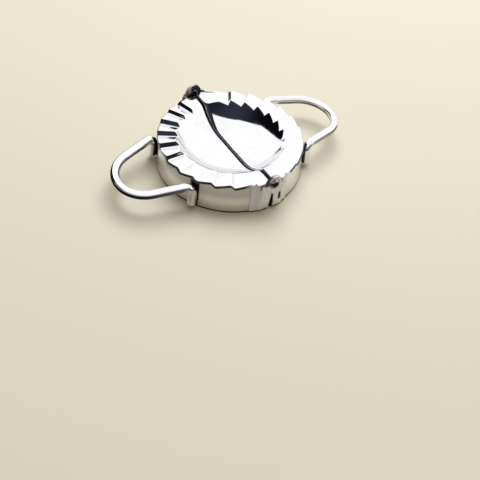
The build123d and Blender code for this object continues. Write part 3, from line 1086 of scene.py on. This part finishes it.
def steel(name, tone, rough, grain, smudge, marks, brushed_ends=False):
    """Polished steel with fine lines and faint smears, with painted shade and highlights laid on
    by one mark after the other.

    The folded ends of the pans can be brushed and dull.
    """
    material, g = new_material(name)
    place = g.add("ShaderNodeTexCoord").outputs["Object"]
    at = Spot(g, place)
    lines = g.noise(g.stretched(place, grain), 1.0, Detail=4.0, Roughness=0.7)
    smear = g.noise(place, SMEAR_SCALE, Detail=5.0, Distortion=0.6)
    speck = g.noise(place, SPECK_SCALE, Detail=2.0)
    smeared, scratched = g.ease(smear, *SMEARED), g.ease(lines, *SCRATCHED)
    dull = smeared * smudge + scratched * SCRATCH_DULL + g.ease(speck, *SPECKED) * SPECK_DULL
    roughness = rough + dull
    wear = smeared * SMEAR_WEAR + scratched * SCRATCH_WEAR
    relief = lines * LINE_RELIEF + smear * SMEAR_RELIEF
    metallic = 1.0

    if brushed_ends:
        ends = folded_ends(g, at)
        streak = g.noise(g.stretched(place, BRUSH_GRAIN), 1.0, Detail=3.0, Roughness=0.6)
        roughness += ends * (BRUSH_DULL + streak * STREAK_DULL)
        metallic = 1.0 - ends * BRUSH_MATT
        wear += ends * streak * STREAK_WEAR
        relief += ends * streak * STREAK_RELIEF

    worn = tuple(v * WORN_TONE for v in tone)
    colour = g.blend(g.low(wear, 1.0), (*tone, 1.0), (*worn, 1.0))
    # The marks paint shade and highlights into the colour, unevenly, and make it a little duller
    uneven = MARK_LEAST + smear * MARK_SPREAD
    for mark in marks:
        for mask, tint in mark(g, at):
            mask *= uneven
            colour = g.blend(g.low(mask, 1.0), colour, tint)
            roughness += mask * MARK_DULL

    sockets = {"Height": relief, "Strength": RELIEF_STRENGTH, "Distance": RELIEF_DEPTH}
    sockets = {"Normal": g.add("ShaderNodeBump", {}, sockets)}
    sockets.update({"Base Color": colour, "Metallic": metallic, "Roughness": roughness})
    metal = g.add("ShaderNodeBsdfPrincipled", {}, sockets)
    g.add("ShaderNodeOutputMaterial", {}, {"Surface": metal})
    return material


# The studio round the mold, by the way that a ray looks: the way to the middle of the bright
# wall and to the corner that ends it, where it bulges, and how far up the low grey light reaches

LIGHT_WAY = (0.80, 0.60)
CORNER_WAY = (0.917, 0.096, 0.387)
WALL_EDGE = (-0.02, 0.02)
LEFT_BULGE, LEFT_BULGE_FROM = 0.05, (0.0, 0.12)
RIGHT_BULGE, RIGHT_BULGE_FROM = 0.12, (0.82, 0.95)
DARKER_RIGHT, DARKER_LEFT = (0.1, 0.7), (-0.1, 0.65)
LOW_TOP, LOW_DROP, LOW_DROP_FROM, LOW_SOFT = 0.53, 0.22, (0.55, 0.85), 0.04
LOW_LEAST, LOW_CLIMB, LOW_FROM = 0.12, 0.8, (0.06, 0.20)
STUDIO_STRENGTH = 1.15


def studio_world():
    """Soft white wall of light behind and to the right, dark room behind the camera."""
    world = bpy.data.worlds.new("studio")
    bpy.context.scene.world = world
    world.use_nodes = True
    world.node_tree.nodes.clear()
    g = Graph(world.node_tree)
    x, y, z = g.axes(g.add("ShaderNodeTexCoord").outputs["Generated"])
    ray = g.add("ShaderNodeLightPath")
    left = y * LIGHT_WAY[0] - x * LIGHT_WAY[1]
    right = left * -1.0
    upward = g.high(z, 0.0)

    towards = x * LIGHT_WAY[0] + y * LIGHT_WAY[1]
    towards += g.ease(left, *LEFT_BULGE_FROM) * LEFT_BULGE
    towards += g.ease(right, *RIGHT_BULGE_FROM) * RIGHT_BULGE
    corner = x * CORNER_WAY[0] + y * CORNER_WAY[1] + z * CORNER_WAY[2]
    wall = g.ease(g.low(towards, corner), *WALL_EDGE)
    bright = g.high(wall, g.num(ray, "Is Camera Ray"))

    room = g.blend(g.ease(right, *DARKER_RIGHT), ROOM_MIDDLE, ROOM_RIGHT)
    room = g.blend(g.ease(left, *DARKER_LEFT), room, ROOM_LEFT)
    top = LOW_TOP - g.ease(left, *LOW_DROP_FROM) * LOW_DROP
    low = g.fade(z, top - LOW_SOFT, top + LOW_SOFT) * (LOW_LEAST + upward * LOW_CLIMB)
    room = g.blend(low * g.ease(towards * -1.0, *LOW_FROM), room, WHITE)

    mirrored = g.blend(bright, room, WHITE)
    fill = g.blend(upward**2.0, BLACK, FILL_LIGHT)
    seen = g.blend(ray.outputs["Is Diffuse Ray"], mirrored, fill)
    light = g.add("ShaderNodeBackground", {}, {"Color": seen, "Strength": STUDIO_STRENGTH})
    g.add("ShaderNodeOutputWorld", {}, {"Surface": light})


def key_lamp():
    """Broad soft lamp on the bright side; it shapes the shadow on the floor."""
    lamp = bpy.data.lights.new("key lamp", "AREA")
    lamp.shape = "DISK"
    lamp.size = 1.1
    lamp.energy = 12.6
    place = Vector((0.44, 0.41, 1.04))
    turn = place.to_track_quat("Z", "Y").to_matrix().to_4x4()
    holder = new_object("key lamp", lamp)
    holder.matrix_world = Matrix.Translation(place) @ turn
    holder.visible_glossy = False


def stage_card(name, rings, shader):
    """Stage mesh from rows of points, partly clear and seen only in reflections."""
    bm = bmesh.new()
    strips(bm, [[bm.verts.new(point) for point in ring] for ring in rings])
    material, g = new_material(name)
    clear = g.add("ShaderNodeBsdfTransparent")
    g.add("ShaderNodeOutputMaterial", {}, {"Surface": shader(g, clear)})
    card = new_object(name.replace(" ", "_"), bm_mesh(bm, name, material))
    card.visible_camera = False
    card.visible_diffuse = False
    card.visible_shadow = False
    return card


def ramp(value, start, stop):
    """0 at start, 1 at stop, straight between."""
    return min(max((value - start) / (stop - start), 0), 1)


def dark_card():
    """Dark card on the floor round the camera side, closest at the front left."""
    first, last, steps = 86, 355, 90
    inner_r, outer_r = 0.077, 1.5
    closer, closer_from, closer_to = 0.022, (150, 165), (270, 255)
    further, further_from = 0.028, (285, 305)
    cover_from, cover_to = (0.055, 0.064), (0.072, 0.088)
    rings = []
    for step in range(steps + 1):
        degree = first + (last - first) * step / steps
        near = ramp(degree, *closer_from) * ramp(degree, *closer_to)
        inner = inner_r - closer * near + further * ramp(degree, *further_from)
        rings.append([(*polar(r, degree), 0.0) for r in (inner, outer_r)])

    def shader(g, clear):
        x, y, z = g.axes(g.add("ShaderNodeTexCoord").outputs["Object"])
        out = g.length(x, y)
        cover = (g.ease(out, *cover_from) + g.ease(out, *cover_to)) * 0.5
        black = g.add("ShaderNodeBsdfDiffuse", {}, {"Color": CARD_BLACK})
        return g.add("ShaderNodeMixShader", {}, {0: cover, 1: clear, 2: black})

    stage_card("dark card", rings, shader)


def bright_canopy(handles):
    """Bright canopy over the camera side that only the wire handles mirror."""
    away, strength = 2.0, 1.1
    degrees_round, degrees_up = range(95, 306, 5), range(30, 91, 5)
    arc = [polar(away, height) for height in degrees_up]
    rings = [[(*polar(radius, degree), up) for radius, up in arc] for degree in degrees_round]

    def shader(g, clear):
        glow = g.add("ShaderNodeEmission", {}, {"Color": WHITE, "Strength": strength})
        return g.add("ShaderNodeAddShader", {}, {0: glow, 1: clear})

    canopy = stage_card("bright canopy", rings, shader)
    lit = bpy.data.collections.new("canopy lit")
    for handle in handles:
        lit.objects.link(handle)
    canopy.light_linking.receiver_collection = lit


def pale_floor():
    """Plain matt floor just under the cutting edge."""
    size, drop = 8.0, 0.05 * MM
    material, g = new_material("pale floor")
    matt = g.add("ShaderNodeBsdfDiffuse", {}, {"Color": FLOOR_CREAM})
    g.add("ShaderNodeOutputMaterial", {}, {"Surface": matt})
    bpy.ops.mesh.primitive_plane_add(size=size, location=(0, 0, -drop))
    floor = bpy.context.object
    floor.name = "floor"
    floor.data.materials.append(material)


def photo_camera():
    """Camera at the photo's angle, fitted to the ring, the flutes, the ears and the rivets."""
    right = Vector((0.844452, -0.528738, 0.085653))
    up = Vector((0.346567, 0.661279, 0.665283))
    back = Vector((-0.408401, -0.532115, 0.741662))
    place = Vector((-0.211342, -0.298287, 0.328486))
    focal_pixels, photo_pixels = 748.463, 480
    lens = bpy.data.cameras.new("camera")
    lens.sensor_width = 36.0
    lens.lens = lens.sensor_width * focal_pixels / photo_pixels
    lens.clip_start = 0.01
    camera = new_object("camera", lens)
    turn = Matrix((right, up, back)).transposed().to_4x4()
    camera.matrix_world = Matrix.Translation(place) @ turn
    bpy.context.scene.camera = camera


def put_on(piece, body, node):
    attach(piece, body)
    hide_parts(node)


photo_camera()
studio_world()
key_lamp()
dark_card()
pale_floor()
bpy.context.scene.view_settings.view_transform = "Standard"

pan_marks = (foot_mark, *EAR_MARKS, lip_mark, crease_shade_marks, joint_mark)
band_marks = (foot_mark, band_weld_shade_mark, band_end_mark)
wire_marks = (flank_mark, leg_weld_shade_mark)
rivet_marks = (core_mark,)

# Name, tone, roughness, grain of the polishing lines, strength of the smears, and marks of painted
# shade and highlight

pan_steel = steel(
    "polished pan steel", (0.86, 0.86, 0.87), 0.055, (900.0, 60.0, 300.0), 0.05, pan_marks, True
)
band_steel = steel(
    "bright band steel", (0.80, 0.79, 0.78), 0.10, (60.0, 60.0, 2500.0), 0.06, band_marks
)
wire_steel = steel(
    "polished wire steel", (0.85, 0.85, 0.86), 0.07, (200.0, 200.0, 200.0), 0.05, wire_marks
)
rivet_steel = steel(
    "bright rivet steel", (0.42, 0.42, 0.44), 0.12, (400.0, 400.0, 400.0), 0.06, rivet_marks
)

pan_sheet = pan_tree(pan_steel)
band_sheet = band_tree(band_steel)
bent_wire = wire_tree(wire_steel)
half_turn = Matrix.Rotation(pi, 4, "Z")
handles = []

for half, hole_r, seed, steep in (
    ("right", SHANK_R, 2.0, FLUTE_STEEP - STEEPER),
    ("left", SHANK_R + RUN_FIT, 7.0, FLUTE_STEEP),
):
    pan = pan_mesh(half + "_pan", pan_sheet, pan_steel, hole_r, seed, steep)
    band = band_mesh(half + "_band", band_sheet, band_steel)
    wire = wire_mesh(half + "_wire", bent_wire)
    for node, mesh, slot in (
        ("press_pan", pan, "pan_steel"),
        ("cutter_band", band, "band_steel"),
        ("handle", wire, "handle_wire"),
    ):
        if half == "left":
            mesh.transform(half_turn)
        piece = new_object(mesh.name + "_piece", mesh)
        put_on(piece, half + "_half", f"{half}_{node}")
        if node == "handle":
            handles.append(piece)

for end in ("rear", "front"):
    mesh = rivet_mesh(end + "_rivet", rivet_steel)
    if end == "front":
        mesh.transform(half_turn)
    piece = new_object(mesh.name + "_piece", mesh)
    put_on(piece, "right_half", end + "_hinge_rivet")

bright_canopy(handles)
